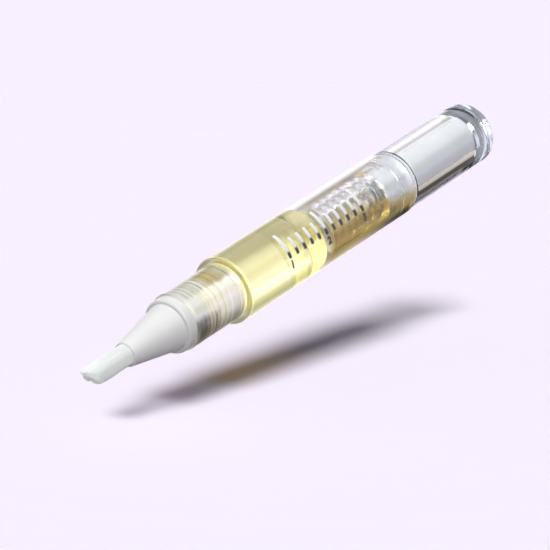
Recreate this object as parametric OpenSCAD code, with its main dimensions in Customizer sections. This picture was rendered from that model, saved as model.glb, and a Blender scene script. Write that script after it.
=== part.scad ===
// Twist-up nail oil pen with a brush tip, its cap taken off.
// The pen lies along X, the brush towards -X and the twist knob towards +X, and rests on its barrel.
// Stations along the pen are counted from the barrel's shoulder, positive towards the knob.
// Every round piece is turned from an outline of [radius, station] points.

/* [Barrel] */
// Outer diameter of the barrel
barrel_d = 12; // [11.4:0.1:14]
// Length of the barrel from its shoulder to its rear edge
barrel_len = 48.5; // [47:0.5:56]
// Wall of the barrel round the oil chamber
chamber_wall = 1.1; // [0.9:0.05:1.3]
// Thickness of the shoulder wall in front of the chamber
shoulder_wall = 1.2; // [0.8:0.1:1.6]
// Rounding of the barrel's shoulder edge
shoulder_r = 0.4; // [0.2:0.05:0.5]

/* [Neck] */
// Step from the barrel down to the neck, which the cap's wall takes up
neck_step = 0.9; // [0.7:0.05:1]
// Length of the neck in front of the shoulder
neck_len = 12.7; // [12:0.1:16]
// Wall of the neck
neck_wall = 1; // [0.8:0.05:1.2]
// Bevel on the front edge of the neck
neck_bevel = 0.25; // [0.1:0.05:0.4]

/* [Brush cone] */
// How far the flange stays inside the neck's surface
flange_step = 0.3; // [0.2:0.05:0.5]
// Thickness of the flange
flange_t = 2; // [1.6:0.1:2.6]
// Rounding of the flange's front edge
flange_r = 0.5; // [0.2:0.05:0.55]
// Width of the flange's ledge round the cone
cone_step = 0.7; // [0.6:0.05:0.9]
// Wall of the cone round the tuft at its rim
rim_wall = 0.4; // [0.35:0.05:0.6]
// Length of the cone
cone_len = 10.8; // [9:0.2:14]
// Rounding of the rim
rim_r = 0.3; // [0.1:0.05:0.3]
// How far the spigot's nose reaches out of the neck's bore into the throat
spigot_in = 0.55; // [0.3:0.05:0.8]
// Length of the spigot's nose behind the last rib
spigot_nose_len = 0.5; // [0.3:0.1:0.8]
// Number of sealing ribs on the spigot
rib_count = 5; // [2:1:5]
// Distance from one rib to the next
rib_pitch = 1.35; // [1.2:0.05:1.5]
// Width of one rib
rib_w = 0.8; // [0.5:0.05:1]
// Height of the ribs over the spigot's core
rib_h = 0.55; // [0.3:0.05:0.7]
// Wall of the spigot's core
spigot_wall = 0.9; // [0.7:0.05:1.1]

/* [Brush] */
// Diameter of the tuft
tuft_d = 3.6; // [3.4:0.1:3.7]
// Length of the tuft in front of the rim, on the pen's axis
tuft_out = 9; // [7:0.5:12]
// How much further the top filaments reach than those on the axis
tuft_slant = 2.4; // [0:0.2:3]
// Depth of the socket that holds the tuft
socket_len = 3.2; // [2.5:0.1:4]
// Thickness of the fused root of the tuft
root_t = 1.2; // [0.8:0.1:1.6]
// Distance between neighbouring filaments
strand_pitch = 0.152; // [0.148:0.001:0.153]
// Thickness of one filament
strand_d = 0.12; // [0.1:0.005:0.125]
// Outer diameter of the feed tube in the middle of the tuft
feed_d = 1.2; // [1:0.05:1.3]
// Bore of the feed tube
feed_bore_d = 0.7; // [0.4:0.05:0.8]
// Length of the feed tube in front of the rim
feed_out = 3.5; // [2:0.5:5]
// Length of the feed tube that stands in the spigot's chamber
feed_back = 1; // [0.5:0.1:2]

/* [Piston] */
// Station of the piston's front face, which sets how much oil is left
piston_s = 15.8; // [12:0.2:17]
// Length of the piston
piston_len = 6.5; // [5.5:0.1:7]
// Width of one sealing lip
lip_w = 1.1; // [0.8:0.1:1.5]
// Depth of the waist between the sealing lips
waist_h = 0.55; // [0.3:0.05:0.8]
// Dish of the piston's front face
piston_dish = 0.5; // [0.2:0.1:0.8]

/* [Screw rod] */
// Diameter over the thread
thread_d = 3.8; // [3.6:0.05:4]
// Diameter at the bottom of the thread
thread_root_d = 2.8; // [2.7:0.05:3]
// Advance of the rod in one turn
thread_pitch = 2; // [1.9:0.05:2.1]
// Width across the two flats
rod_flat_w = 2.6; // [2.5:0.05:2.8]
// Turns of thread on the rod
thread_turns = 19; // [18:1:20]
// Diameter of the head that turns in the piston
head_d = 3.4; // [3.2:0.05:3.6]
// Length of the head
head_len = 1.4; // [1:0.1:1.8]
// Diameter of the rod's neck behind the head
rod_neck_d = 2.2; // [2:0.05:2.4]
// Length of the rod's neck
rod_neck_len = 1.5; // [1.2:0.1:2]

/* [Thread guide] */
// Length of the guide inside the barrel
guide_len = 8.3; // [8:0.1:8.6]
// Thickness of the web that carries the thread lugs
web_t = 1.8; // [1.5:0.1:2]
// Diameter of a thread lug
lug_d = 0.5; // [0.4:0.02:0.56]
// Air gap between the rod's thread and the guide's tube
tube_air = 0.4; // [0.3:0.05:0.6]
// Room between the full pen's piston and the stops on the tube's front
full_gap = 0.6; // [0.4:0.1:1]
// Length of the front stops that the piston meets when the pen is full
stop_len = 1.3; // [0.8:0.1:1.6]
// Width of a front stop
stop_w = 1.2; // [0.8:0.1:1.4]
// Number of front stops
stop_count = 4; // [3:1:6]
// Height of the snap ring that holds the guide in the barrel
snap_h = 0.2; // [0.1:0.05:0.3]
// Width of the snap ring
snap_w = 0.7; // [0.5:0.1:0.9]
// Distance from the snap ring to the barrel's rear edge
snap_back = 2.6; // [2.4:0.1:2.8]
// Thickness of the collar between barrel and knob
collar_t = 0.6; // [0.5:0.1:0.8]
// Number of click teeth inside the guide
tooth_count = 12; // [8:1:16]
// Depth of a click tooth
tooth_h = 0.25; // [0.2:0.05:0.3]

/* [Drive sleeve] */
// Share of the space between rod and chamber wall that the sleeve takes in the guide
sleeve_front_share = 0.42; // [0.4:0.01:0.44]
// Share of the space between rod and knob surface that the sleeve takes in the knob
sleeve_rear_share = 0.365; // [0.36:0.005:0.38]
// Air gap between the rod's thread and the sleeve's bore behind its driving part
rod_air = 0.25; // [0.2:0.05:0.3]
// Length of the part of the sleeve that drives the rod
drive_len = 3; // [2.5:0.1:3.5]
// Share of the space between rod and chamber wall inside the disc of the click arms
click_share = 0.68; // [0.66:0.01:0.7]
// Thickness of that disc
click_t = 1.7; // [1.5:0.1:1.8]
// Thickness of a click arm
arm_t = 0.28; // [0.25:0.01:0.32]
// Width of the slot behind a click arm
arm_slot_w = 0.2; // [0.15:0.01:0.22]
// Width of a key that turns the sleeve with the knob
key_w = 0.8; // [0.6:0.1:1]
// Height of that key
key_h = 0.25; // [0.2:0.05:0.3]

/* [Knob] */
// How far the knob stays inside the barrel's surface
knob_step = 0.25; // [0.1:0.05:0.4]
// Length of the knob's clear shell
knob_len = 21.7; // [20.5:0.1:26]
// Length of the knob's hub that grips the sleeve
hub_len = 1.4; // [1:0.1:1.8]
// Air gap between the sleeve and the knob's bore
knob_air = 0.2; // [0.15:0.05:0.4]
// Rounding where the hub opens into the bore, and of the knob's front edge
knob_r = 0.3; // [0.15:0.05:0.4]
// Width of the groove in front of the end disc
groove_w = 0.6; // [0.4:0.1:0.9]
// Depth of that groove
groove_h = 0.45; // [0.3:0.05:0.6]
// Thickness of the end disc
disc_t = 2.8; // [2:0.1:3.2]
// Rounding of the end disc's edges
disc_r = 0.7; // [0.3:0.05:0.9]
// Length of the plug's spigot inside the knob
plug_len = 1; // [0.6:0.1:1.3]

/* [Fits] */
// Radial play of pieces that turn or slide in each other
run_fit = 0.05; // [0.03:0.01:0.08]
// Radial play of pieces that are pressed or snapped together
seat_fit = 0.02; // [0.01:0.01:0.04]
// Play between flat faces that move past each other
face_gap = 0.15; // [0.1:0.01:0.18]
// Gap between the oil and what holds it
oil_gap = 0.05; // [0.03:0.01:0.1]

/* [Hidden] */
$fn = 96;

// A cut runs past its piece by this much
overrun = 0.5;
// Rounds of outlines are drawn with this many steps a quarter
round_steps = 8;

// Barrel and neck
barrel_r = barrel_d / 2;
chamber_r = barrel_r - chamber_wall;
neck_r = barrel_r - neck_step;
neck_bore_r = min(neck_r - neck_wall, chamber_r - seat_fit);
edge_bevel = shoulder_r / 2;
throat_s = shoulder_r - shoulder_wall;
front_rise_share = 1.5;
chamber_s = throat_s + front_rise_share * (chamber_r - neck_bore_r);

// Brush cone
flange_s = -neck_len - flange_t;
flange_r_out = neck_r - flange_step;
cone_base_r = flange_r_out - cone_step;
cone_tip_r = tuft_d / 2 + rim_wall;
rim_s = flange_s - cone_len;
spigot_r = neck_bore_r - seat_fit;
spigot_core_r = spigot_r - rib_h;
spigot_bore_r = spigot_core_r - spigot_wall;
spigot_end_s = throat_s + spigot_in;
first_rib_s = spigot_end_s - spigot_nose_len - rib_count * rib_pitch;
plain_end_s = first_rib_s - rib_pitch + rib_w;
socket_s = rim_s + socket_len;

// Tuft
tuft_r = tuft_d / 2;
feed_r = feed_d / 2;
root_hole_r = feed_r + run_fit;
strand_sides = 3;
corner_shares = [[-0.5, -0.5], [0.5, -0.5], [0.5, 0.5], [-0.5, 0.5]];
neighbours = [[0, -1], [1, 0], [0, 1], [-1, 0]];
ring_start = 2 * len(corner_shares);
cell_points = ring_start + 3 * strand_sides;
cells_out = ceil(tuft_r / strand_pitch);
belly_share = 1.05;
tip_share = 0.97;
ragged_share = 0.03;
cells = [
    for (i = [-cells_out : cells_out]) for (j = [-cells_out : cells_out])
        if (cell_on_root(i, j)) [i, j]
];
top_x = strand_pitch * max([for (c = cells) c[0]]);
strand_s = socket_s - root_t;
tip_s = strand_s - max([for (c = cells) strand_len(strand_pitch * c[0], strand_pitch * c[1])]);

// Thread and rod
thread_r = thread_d / 2;
root_r = thread_root_d / 2;
columns = 20;
rows_a_turn = 4;
row_shares = [0, 0.35, 0.525, 0.825];
row_radii = [root_r, root_r, thread_r, thread_r];
groove_share = 0.175;
last_row = rows_a_turn * (thread_turns - 1);
head_s = piston_s + piston_dish + head_wall();
rod_neck_s = head_s + head_len;
thread_s = rod_neck_s + rod_neck_len;

// Guide
guide_r = chamber_r - seat_fit;
guide_s = barrel_len - guide_len;
stops_s = piston_s + piston_len + full_gap;
tube_s = stops_s + stop_len;
tube_bore_r = thread_r + tube_air;
sleeve_s = guide_s + web_t + face_gap;
sleeve_front_r = thread_r + sleeve_front_share * (chamber_r - thread_r);
click_r = thread_r + click_share * (chamber_r - thread_r);
tooth_r = click_r + run_fit;
click_bore_r = tooth_r + tooth_h;
snap_s = barrel_len - snap_back;
click_s = snap_s + face_gap;
click_end_s = click_s + click_t;
retainer_s = click_end_s + face_gap;
collar_end_s = barrel_len + collar_t;
lug_s = guide_s + web_t / 2 - thread_pitch / 4;
lug_turns = (lug_s - thread_s) / thread_pitch - groove_share;

// Knob
knob_r_out = barrel_r - knob_step;
knob_s = collar_end_s + face_gap;
knob_end_s = knob_s + knob_len;
sleeve_rear_r = thread_r + sleeve_rear_share * (knob_r_out - thread_r);
knob_bore_r = sleeve_rear_r + knob_air;
plug_s = knob_end_s - plug_len;
sleeve_end_s = plug_s - face_gap;
disc_s = knob_end_s + groove_w;
tail_s = disc_s + disc_t;
key_count = 4;

// Wall in front of the rod's head inside the piston
function head_wall() = piston_len / 6;

// Places a shape so that the box of the whole pen stands on its bottom centre
module placed() {
    translate([-(tip_s + tail_s) / 2, 0, barrel_r]) children();
}

// Turns an outline of [radius, station] points round the pen's axis
module turned(outline) {
    placed() rotate([0, 90, 0]) rotate_extrude() polygon(outline);
}

// Puts a shape made along Z on the pen's axis, with its Z towards the knob
module along(s) {
    placed() translate([s, 0, 0]) rotate([0, 90, 0]) children();
}

// Puts a shape made along Z on the pen's axis, with its Z towards the brush and its X upwards
module to_brush(s) {
    placed() translate([s, 0, 0]) rotate([0, -90, 0]) children();
}

// A quarter round from one angle to another about a centre, in outline points
function round_at(centre, r, from, to) = [
    for (i = [0 : round_steps])
        let (a = from + (to - from) * i / round_steps)
        centre + r * [cos(a), sin(a)]
];

// Barrel: neck, shoulder and chamber in one clear moulding, with a groove that the guide snaps into
module barrel() {
    groove_r = guide_r + snap_h + seat_fit;
    color([0.9, 0.92, 0.95, 0.35])
    turned(concat(
        [[neck_bore_r, -neck_len]],
        [[neck_r - neck_bevel, -neck_len], [neck_r, -neck_len + neck_bevel]],
        [[neck_r, 0]],
        round_at([barrel_r - shoulder_r, shoulder_r], shoulder_r, -90, 0),
        [[barrel_r, barrel_len - edge_bevel], [barrel_r - edge_bevel, barrel_len]],
        [[chamber_r, barrel_len]],
        [[chamber_r, snap_s + seat_fit], [groove_r, snap_s + seat_fit]],
        [[groove_r, snap_s - snap_w - seat_fit], [chamber_r, snap_s - snap_w - seat_fit]],
        [[chamber_r, chamber_s], [neck_bore_r, throat_s]]
    ));
}

// Brush cone: ribbed spigot, flange and cone, bored for the tuft and the feed tube
module brush_cone() {
    feed_hole_r = feed_r + seat_fit;
    well_s = -neck_len - flange_t / 2;
    ribs = [
        for (i = [0 : rib_count - 1])
            let (s = first_rib_s + i * rib_pitch)
            each [[spigot_core_r, s], [spigot_r, s], [spigot_r, s + rib_w], [spigot_core_r, s + rib_w]]
    ];
    color([0.94, 0.94, 0.92])
    turned(concat(
        [[feed_hole_r, well_s], [feed_hole_r, socket_s], [tuft_r + seat_fit, socket_s]],
        [[tuft_r + seat_fit, rim_s]],
        round_at([cone_tip_r - rim_r, rim_s + rim_r], rim_r, -90, 0),
        [[cone_base_r, flange_s]],
        round_at([flange_r_out - flange_r, flange_s + flange_r], flange_r, -90, 0),
        [[flange_r_out, -neck_len], [spigot_r, -neck_len]],
        [[spigot_r, plain_end_s], [spigot_core_r, plain_end_s]],
        ribs,
        [[spigot_core_r, spigot_end_s], [spigot_bore_r, spigot_end_s], [spigot_bore_r, well_s]]
    ));
}

// Feed tube that carries the oil from the spigot into the middle of the tuft
module feed_tube() {
    back_s = -neck_len - flange_t / 2 + feed_back;
    color([0.95, 0.95, 0.93])
    turned([
        [feed_bore_d / 2, rim_s - feed_out], [feed_r, rim_s - feed_out],
        [feed_r, back_s], [feed_bore_d / 2, back_s]
    ]);
}

// Whether the lattice cell in column i and row j lies wholly on the root of the tuft
function cell_on_root(i, j) =
    let (far = strand_pitch * norm([abs(i) + 0.5, abs(j) + 0.5]))
    let (near = strand_pitch * norm([max(abs(i) - 0.5, 0), max(abs(j) - 0.5, 0)]))
    far < tuft_r - seat_fit && near > root_hole_r;

// Length of the filament at x, y above the root, longest at the top and a little ragged
function strand_len(x, y) =
    socket_len - root_t + tuft_out + tuft_slant * x / top_x
    - tuft_out * ragged_share * (1 + sin(137 * x / strand_pitch + 211 * y / strand_pitch)) / 2;

// The three corners of a filament's section at height z, with its centre moved out by a share
function strand_ring(x, y, z, spread, thick_share) = [
    for (k = [0 : strand_sides - 1])
        let (a = 225 + 360 * k / strand_sides)
        [x * spread, y * spread, z] + strand_d / 2 * thick_share * [cos(a), sin(a), 0]
];

// All points of one cell: four corners below and above, and the filament's three sections
function cell_corners(i, j, z) = [
    for (c = corner_shares) [(i + c[0]) * strand_pitch, (j + c[1]) * strand_pitch, z]
];
function cell_all(i, j, low, high) =
    let (x = i * strand_pitch, y = j * strand_pitch, reach = strand_len(x, y))
    concat(
        cell_corners(i, j, low), cell_corners(i, j, high),
        strand_ring(x, y, high, 1, 1),
        strand_ring(x, y, high + reach / 2, belly_share, 1),
        strand_ring(x, y, high + reach, tip_share, 0.6)
    );

// The faces of one cell, from its first point's number
function band_faces(a, b) = [
    for (k = [0 : strand_sides - 1])
        let (n = (k + 1) % strand_sides)
        each [[a + k, a + n, b + n], [a + k, b + n, b + k]]
];
function cell_faces(p, i, j) = concat(
    [[p, p + 2, p + 1], [p, p + 3, p + 2]],
    [
        [p + 4, p + 5, p + 8], [p + 5, p + 9, p + 8], [p + 5, p + 6, p + 9], [p + 6, p + 10, p + 9],
        [p + 6, p + 7, p + 10], [p + 7, p + 8, p + 10], [p + 7, p + 4, p + 8]
    ],
    band_faces(p + ring_start, p + ring_start + strand_sides),
    band_faces(p + ring_start + strand_sides, p + ring_start + 2 * strand_sides),
    [[p + cell_points - 3, p + cell_points - 2, p + cell_points - 1]],
    [
        for (k = [0 : 3])
            if (!cell_on_root(i + neighbours[k][0], j + neighbours[k][1]))
                let (n = (k + 1) % 4)
                each [[p + k, p + n, p + 4 + n], [p + k, p + 4 + n, p + 4 + k]]
    ]
);

// Tuft: filaments on a square lattice, fused to a round slice of their root
module bristles() {
    low = root_t * 0.8;
    points = [for (c = cells) each cell_all(c[0], c[1], low, root_t)];
    faces = [for (n = [0 : len(cells) - 1]) each cell_faces(n * cell_points, cells[n][0], cells[n][1])];
    root_end = root_t - seat_fit;
    echo(filaments = len(cells), triangles = len(faces));
    color([0.93, 0.94, 0.92])
    to_brush(socket_s) {
        rotate_extrude() polygon([
            [root_hole_r, 0], [tuft_r, 0], [tuft_r, root_end], [root_hole_r, root_end]
        ]);
        polyhedron(points, [for (f = faces) [f[2], f[1], f[0]]], convexity = 10);
    }
}

// Oil left in front of the piston, in the chamber, the neck and the spigot
module oil() {
    end_s = piston_s - oil_gap;
    neck_oil_r = neck_bore_r - oil_gap;
    front_s = spigot_end_s + oil_gap;
    neck_end_s = throat_s + oil_gap;
    front_r = neck_oil_r + max(0, front_s - neck_end_s) / front_rise_share;
    inner_s = -neck_len - flange_t / 2 + feed_back + oil_gap;
    color([0.96, 0.87, 0.45, 0.7])
    turned(concat(
        [[0, inner_s], [spigot_bore_r - oil_gap, inner_s], [spigot_bore_r - oil_gap, front_s]],
        [[front_r, front_s]],
        front_s < neck_end_s ? [[neck_oil_r, neck_end_s]] : [],
        [[chamber_r - oil_gap, chamber_s + oil_gap], [chamber_r - oil_gap, end_s]],
        [[(chamber_r - oil_gap) / 2, end_s + piston_dish / 2], [0, end_s + piston_dish / 2]]
    ));
}

// Piston: two sealing lips, a dished face and a socket that the rod's head turns in
module piston() {
    lip_r = chamber_r - run_fit;
    waist_r = lip_r - waist_h;
    end_s = piston_s + piston_len;
    pocket_r = head_d / 2 + run_fit;
    throat_r = rod_neck_d / 2 + run_fit;
    lead = lip_w / 3;
    color([0.93, 0.93, 0.88, 0.6])
    turned([
        [0, piston_s + piston_dish], [lip_r / 2, piston_s + piston_dish], [lip_r - lead, piston_s],
        [lip_r, piston_s + lead], [lip_r, piston_s + lip_w], [waist_r, piston_s + lip_w + lead],
        [waist_r, end_s - lip_w - lead], [lip_r, end_s - lip_w], [lip_r, end_s - lead],
        [lip_r - lead, end_s], [waist_r - lip_w, end_s], [waist_r - lip_w, end_s - lip_w],
        [waist_r - lip_w, thread_s - face_gap - lead], [pocket_r + waist_h, thread_s - face_gap],
        [throat_r, thread_s - face_gap], [throat_r, rod_neck_s + face_gap],
        [pocket_r, rod_neck_s + face_gap], [pocket_r, head_s - face_gap], [0, head_s - face_gap]
    ]);
}

// Radius of the rod at a thread row and a column of the round, cut back to the two flats
function rod_radius(row, column) =
    let (level = row_radii[row % rows_a_turn], side = abs(cos(360 * column / columns)))
    side * level > rod_flat_w / 2 ? rod_flat_w / 2 / side : level;
function rod_point(row, column) =
    let (a = 360 * column / columns, r = rod_radius(row, column))
    let (turn = floor(row / rows_a_turn) + row_shares[row % rows_a_turn] + column / columns)
    [r * cos(a), r * sin(a), thread_pitch * turn];

// Number of a thread point: the end of a row joins the row one turn on
function rod_index(row, column) =
    column == columns ? rod_index(row + rows_a_turn, 0)
    : row <= last_row ? row * columns + column
    : (last_row + 1) * columns + row - last_row - 1;

// Threaded length of the rod as one closed form, its rows following the helix
module thread() {
    rows = [for (row = [0 : last_row]) for (column = [0 : columns - 1]) rod_point(row, column)];
    ends = [for (k = [1 : rows_a_turn]) rod_point(last_row + k, 0)];
    first_apex = len(rows) + len(ends);
    last_apex = first_apex + 1;
    apexes = [
        [0, 0, thread_pitch / 2],
        [0, 0, thread_pitch * (last_row / rows_a_turn) + thread_pitch / 2]
    ];
    sides = [
        for (row = [0 : last_row - 1]) for (c = [0 : columns - 1])
            let (a = rod_index(row, c), b = rod_index(row, c + 1))
            let (d = rod_index(row + 1, c + 1), e = rod_index(row + 1, c))
            each [[a, b, d], [a, d, e]]
    ];
    first_cap = concat(
        [for (c = [0 : columns - 1]) [rod_index(0, c + 1), rod_index(0, c), first_apex]],
        [for (k = [0 : rows_a_turn - 1]) [rod_index(k, 0), rod_index(k + 1, 0), first_apex]]
    );
    last_cap = concat(
        [for (c = [0 : columns - 1]) [rod_index(last_row, c), rod_index(last_row, c + 1), last_apex]],
        [
            for (k = [last_row : last_row + rows_a_turn - 1])
                [rod_index(k + 1, 0), rod_index(k, 0), last_apex]
        ]
    );
    faces = concat(sides, first_cap, last_cap);
    polyhedron(concat(rows, ends, apexes), [for (f = faces) [f[2], f[1], f[0]]], convexity = 10);
}

// Screw rod: head, neck and a right-hand thread with two flats
module screw_rod() {
    nose = head_len / 3;
    color([0.9, 0.91, 0.93, 0.6]) {
        turned([
            [0, head_s], [head_d / 2 - nose, head_s], [head_d / 2, head_s + nose],
            [head_d / 2, rod_neck_s], [rod_neck_d / 2, rod_neck_s],
            [rod_neck_d / 2, thread_s + thread_pitch * 1.5], [0, thread_s + thread_pitch * 1.5]
        ]);
        along(thread_s) thread();
    }
}

// Thread guide: snapped into the barrel's tail, a thick tube round the rod with the thread lugs in its
// web and the click teeth behind it
module thread_guide() {
    sleeve_hole_r = sleeve_front_r + run_fit;
    web_hole_r = thread_r + run_fit;
    snap_r = guide_r + snap_h;
    collar_r = knob_r_out;
    lug_in_r = (root_r + thread_r) / 2 - run_fit;
    web_end_s = guide_s + web_t;
    stop_in_r = sleeve_front_r;
    stop_out_r = guide_r - run_fit;
    color([0.9, 0.93, 0.96, 0.4]) {
        difference() {
            turned([
                [tube_bore_r, tube_s], [guide_r, tube_s], [guide_r, snap_s - snap_w],
                [snap_r, snap_s - snap_w / 2], [snap_r, snap_s], [guide_r, snap_s],
                [guide_r, barrel_len], [collar_r, barrel_len], [collar_r, collar_end_s],
                [sleeve_hole_r, collar_end_s], [sleeve_hole_r, retainer_s],
                [tooth_r, retainer_s], [tooth_r, click_s - face_gap],
                [sleeve_hole_r, click_s - face_gap], [sleeve_hole_r, web_end_s],
                [web_hole_r, web_end_s], [web_hole_r, guide_s], [tube_bore_r, guide_s]
            ]);
            along(click_s) click_gaps(click_t);
        }
        along(guide_s) thread_lugs(lug_in_r, web_hole_r + web_t / 2);
        along(stops_s) front_stops(stop_in_r, stop_out_r);
    }
}

// Gaps between the click teeth, cut outwards from the disc's bore
module click_gaps(length) {
    for (i = [0 : tooth_count - 1])
        rotate([0, 0, 360 * i / tooth_count])
        linear_extrude(length)
        polygon([
            [tooth_r - tooth_h, 0], [click_bore_r, 0],
            tooth_r * [cos(180 / tooth_count), sin(180 / tooth_count)]
        ]);
}

// Two round lugs that stand in the rod's thread groove, half a turn apart
module thread_lugs(inner, outer) {
    for (half = [0, 1]) {
        translate([0, 0, lug_s + thread_pitch / 2 * half - guide_s])
        rotate([0, 90, 360 * lug_turns + 180 * half])
        translate([0, 0, inner])
        cylinder(h = outer - inner, d = lug_d);
    }
}

// Stops on the tube's front face, spread evenly round it
module front_stops(inner, outer) {
    for (i = [0 : stop_count - 1])
        rotate([0, 0, 45 + 360 * i / stop_count])
        translate([inner, -stop_w / 2, 0])
        cube([(outer - inner) * 0.9, stop_w, stop_len + web_t / 2]);
}

// Drive sleeve: turned by the knob, it drives the rod by its flats and carries the click arms
module drive_sleeve() {
    flat = rod_flat_w + 2 * run_fit;
    drive_hole_r = thread_r + run_fit;
    bore_r = thread_r + rod_air;
    drive_end_s = sleeve_s + drive_len;
    color([0.95, 0.95, 0.96]) {
        difference() {
            turned([
                [0, sleeve_s], [sleeve_front_r - arm_t, sleeve_s],
                [sleeve_front_r, sleeve_s + arm_t], [sleeve_front_r, click_s],
                [click_r, click_s], [click_r, click_end_s], [sleeve_front_r, click_end_s],
                [sleeve_front_r, knob_s], [sleeve_rear_r, knob_s],
                [sleeve_rear_r, sleeve_end_s], [bore_r, sleeve_end_s],
                [bore_r, drive_end_s], [0, drive_end_s]
            ]);
            along(sleeve_s - overrun) intersection() {
                cylinder(h = drive_len + 2 * overrun, r = drive_hole_r);
                translate([-flat / 2, -thread_d, 0])
                cube([flat, 2 * thread_d, drive_len + 2 * overrun]);
            }
            along(click_s - overrun) arm_slots(click_t + 2 * overrun);
        }
        along(knob_s) keys(sleeve_rear_r, key_h, key_w, hub_len / 2);
    }
}

// Curved slots that free the two click arms
module arm_slots(length) {
    outer = click_r - arm_t;
    for (half = [0, 1])
        rotate([0, 0, 180 * half]) {
            rotate_extrude(angle = 80)
            polygon([
                [outer - arm_slot_w, 0], [outer, 0], [outer, length], [outer - arm_slot_w, length]
            ]);
            rotate([0, 0, 80])
            translate([outer - arm_slot_w, -arm_slot_w, 0])
            cube([click_r, arm_slot_w, length]);
        }
}

// Keys that stand out of a round of radius r, from its surface outwards
module keys(r, height, width, length) {
    for (i = [0 : key_count - 1])
        rotate([0, 0, 360 * i / key_count])
        translate([r - height, -width / 2, 0])
        cube([2 * height, width, length]);
}

// Knob shell: thick clear tube with a hub that grips the sleeve
module knob_shell() {
    hub_r = sleeve_rear_r + seat_fit;
    hub_end_s = knob_s + hub_len;
    color([0.9, 0.92, 0.95, 0.3])
    difference() {
        turned(concat(
            [[hub_r, knob_s]],
            round_at([knob_r_out - knob_r, knob_s + knob_r], knob_r, -90, 0),
            [[knob_r_out, knob_end_s - knob_r], [knob_r_out - knob_r, knob_end_s]],
            [[knob_bore_r, knob_end_s], [knob_bore_r, hub_end_s + knob_r]],
            [[hub_r, hub_end_s]]
        ));
        along(knob_s - overrun)
        keys(sleeve_rear_r, key_h + seat_fit, key_w + 2 * seat_fit, hub_len / 2 + overrun + seat_fit);
    }
}

// End plug: spigot, groove and a thick clear disc with rounded edges
module end_plug() {
    spigot = knob_bore_r - seat_fit;
    color([0.9, 0.92, 0.95, 0.3])
    turned(concat(
        [[0, plug_s], [spigot, plug_s], [spigot, knob_end_s]],
        [[knob_r_out - groove_h, knob_end_s], [knob_r_out - groove_h, disc_s]],
        round_at([knob_r_out - disc_r, disc_s + disc_r], disc_r, -90, 0),
        round_at([knob_r_out - disc_r, tail_s - disc_r], disc_r, 0, 90),
        [[0, tail_s]]
    ));
}

bristles();
feed_tube();
brush_cone();
barrel();
oil();
piston();
screw_rod();
thread_guide();
drive_sleeve();
knob_shell();
end_plug();
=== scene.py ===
"""Looks of a twist-up nail oil pen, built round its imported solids.

The pen lies along X, its brush towards -X. Sizes are in millimetres until a mesh is made, and stations are
counted along the pen from the barrel's shoulder, positive towards the knob.
"""

import logging
import math
from dataclasses import dataclass, field, replace
from enum import Enum
from typing import Any, Callable, Iterable, Sequence

import bpy
from mathutils import Matrix, Vector

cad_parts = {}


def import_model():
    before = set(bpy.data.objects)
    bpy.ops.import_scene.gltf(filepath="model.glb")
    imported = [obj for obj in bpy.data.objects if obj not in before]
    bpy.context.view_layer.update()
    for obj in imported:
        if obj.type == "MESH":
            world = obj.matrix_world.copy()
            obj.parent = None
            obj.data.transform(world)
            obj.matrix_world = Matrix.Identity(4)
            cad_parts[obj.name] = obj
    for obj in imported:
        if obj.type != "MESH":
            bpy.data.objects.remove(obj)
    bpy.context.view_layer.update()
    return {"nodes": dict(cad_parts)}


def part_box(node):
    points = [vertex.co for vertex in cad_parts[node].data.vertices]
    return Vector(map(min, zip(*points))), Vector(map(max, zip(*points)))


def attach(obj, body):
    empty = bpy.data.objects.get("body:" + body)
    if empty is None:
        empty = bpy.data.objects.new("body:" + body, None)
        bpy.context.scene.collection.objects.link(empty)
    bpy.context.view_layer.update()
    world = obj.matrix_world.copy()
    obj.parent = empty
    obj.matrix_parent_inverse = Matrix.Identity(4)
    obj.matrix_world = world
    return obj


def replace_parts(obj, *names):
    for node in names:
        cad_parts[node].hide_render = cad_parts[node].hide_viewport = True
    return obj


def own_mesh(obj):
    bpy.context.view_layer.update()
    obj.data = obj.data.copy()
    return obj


LOG = logging.getLogger("oil_pen")
MM = 0.001
PER_METRE = 1000.0
GOLDEN_ANGLE = 2.399963
MOST_LAYERS = 40
BLACK = (0.0, 0.0, 0.0)
Colour = tuple[float, float, float]
Way = tuple[float, float, float]
Stretch = tuple[float, float]
Outline = list[tuple[float, float]]


class Body(Enum):
    """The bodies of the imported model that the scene's own pieces ride on."""

    BARREL = "barrel"
    ROD = "rod"


class Slot(Enum):
    """The material slots of the record that the scene's own pieces take."""

    CLEAR_BARREL = "clear_barrel"
    CLEAR_ROD = "clear_rod"
    OIL = "oil"
    WHITE_CONE = "white_cone"
    NYLON = "nylon"


class LampKind(Enum):
    """The kinds of lamp in use."""

    SUN = "SUN"
    DISK = "AREA"


class Linked(Enum):
    """How a lamp is linked to a group of objects."""

    ONLY = "INCLUDE"
    ALL_BUT = "EXCLUDE"


def math_node(operation: str, reflected: bool = False) -> Callable[["Wire", Any], "Wire"]:
    """Makes a method of Wire that adds a Math node of two values.

    Args:
        operation: the node's operation.
        reflected: whether the other value comes first.

    Returns:
        The method.
    """
    def apply(one: "Wire", other: Any) -> "Wire":
        """Adds the node on this and a number or wire."""
        values = (other, one) if reflected else (one, other)
        return one.board.node("ShaderNodeMath", dict(enumerate(values)), operation=operation)

    return apply


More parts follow.
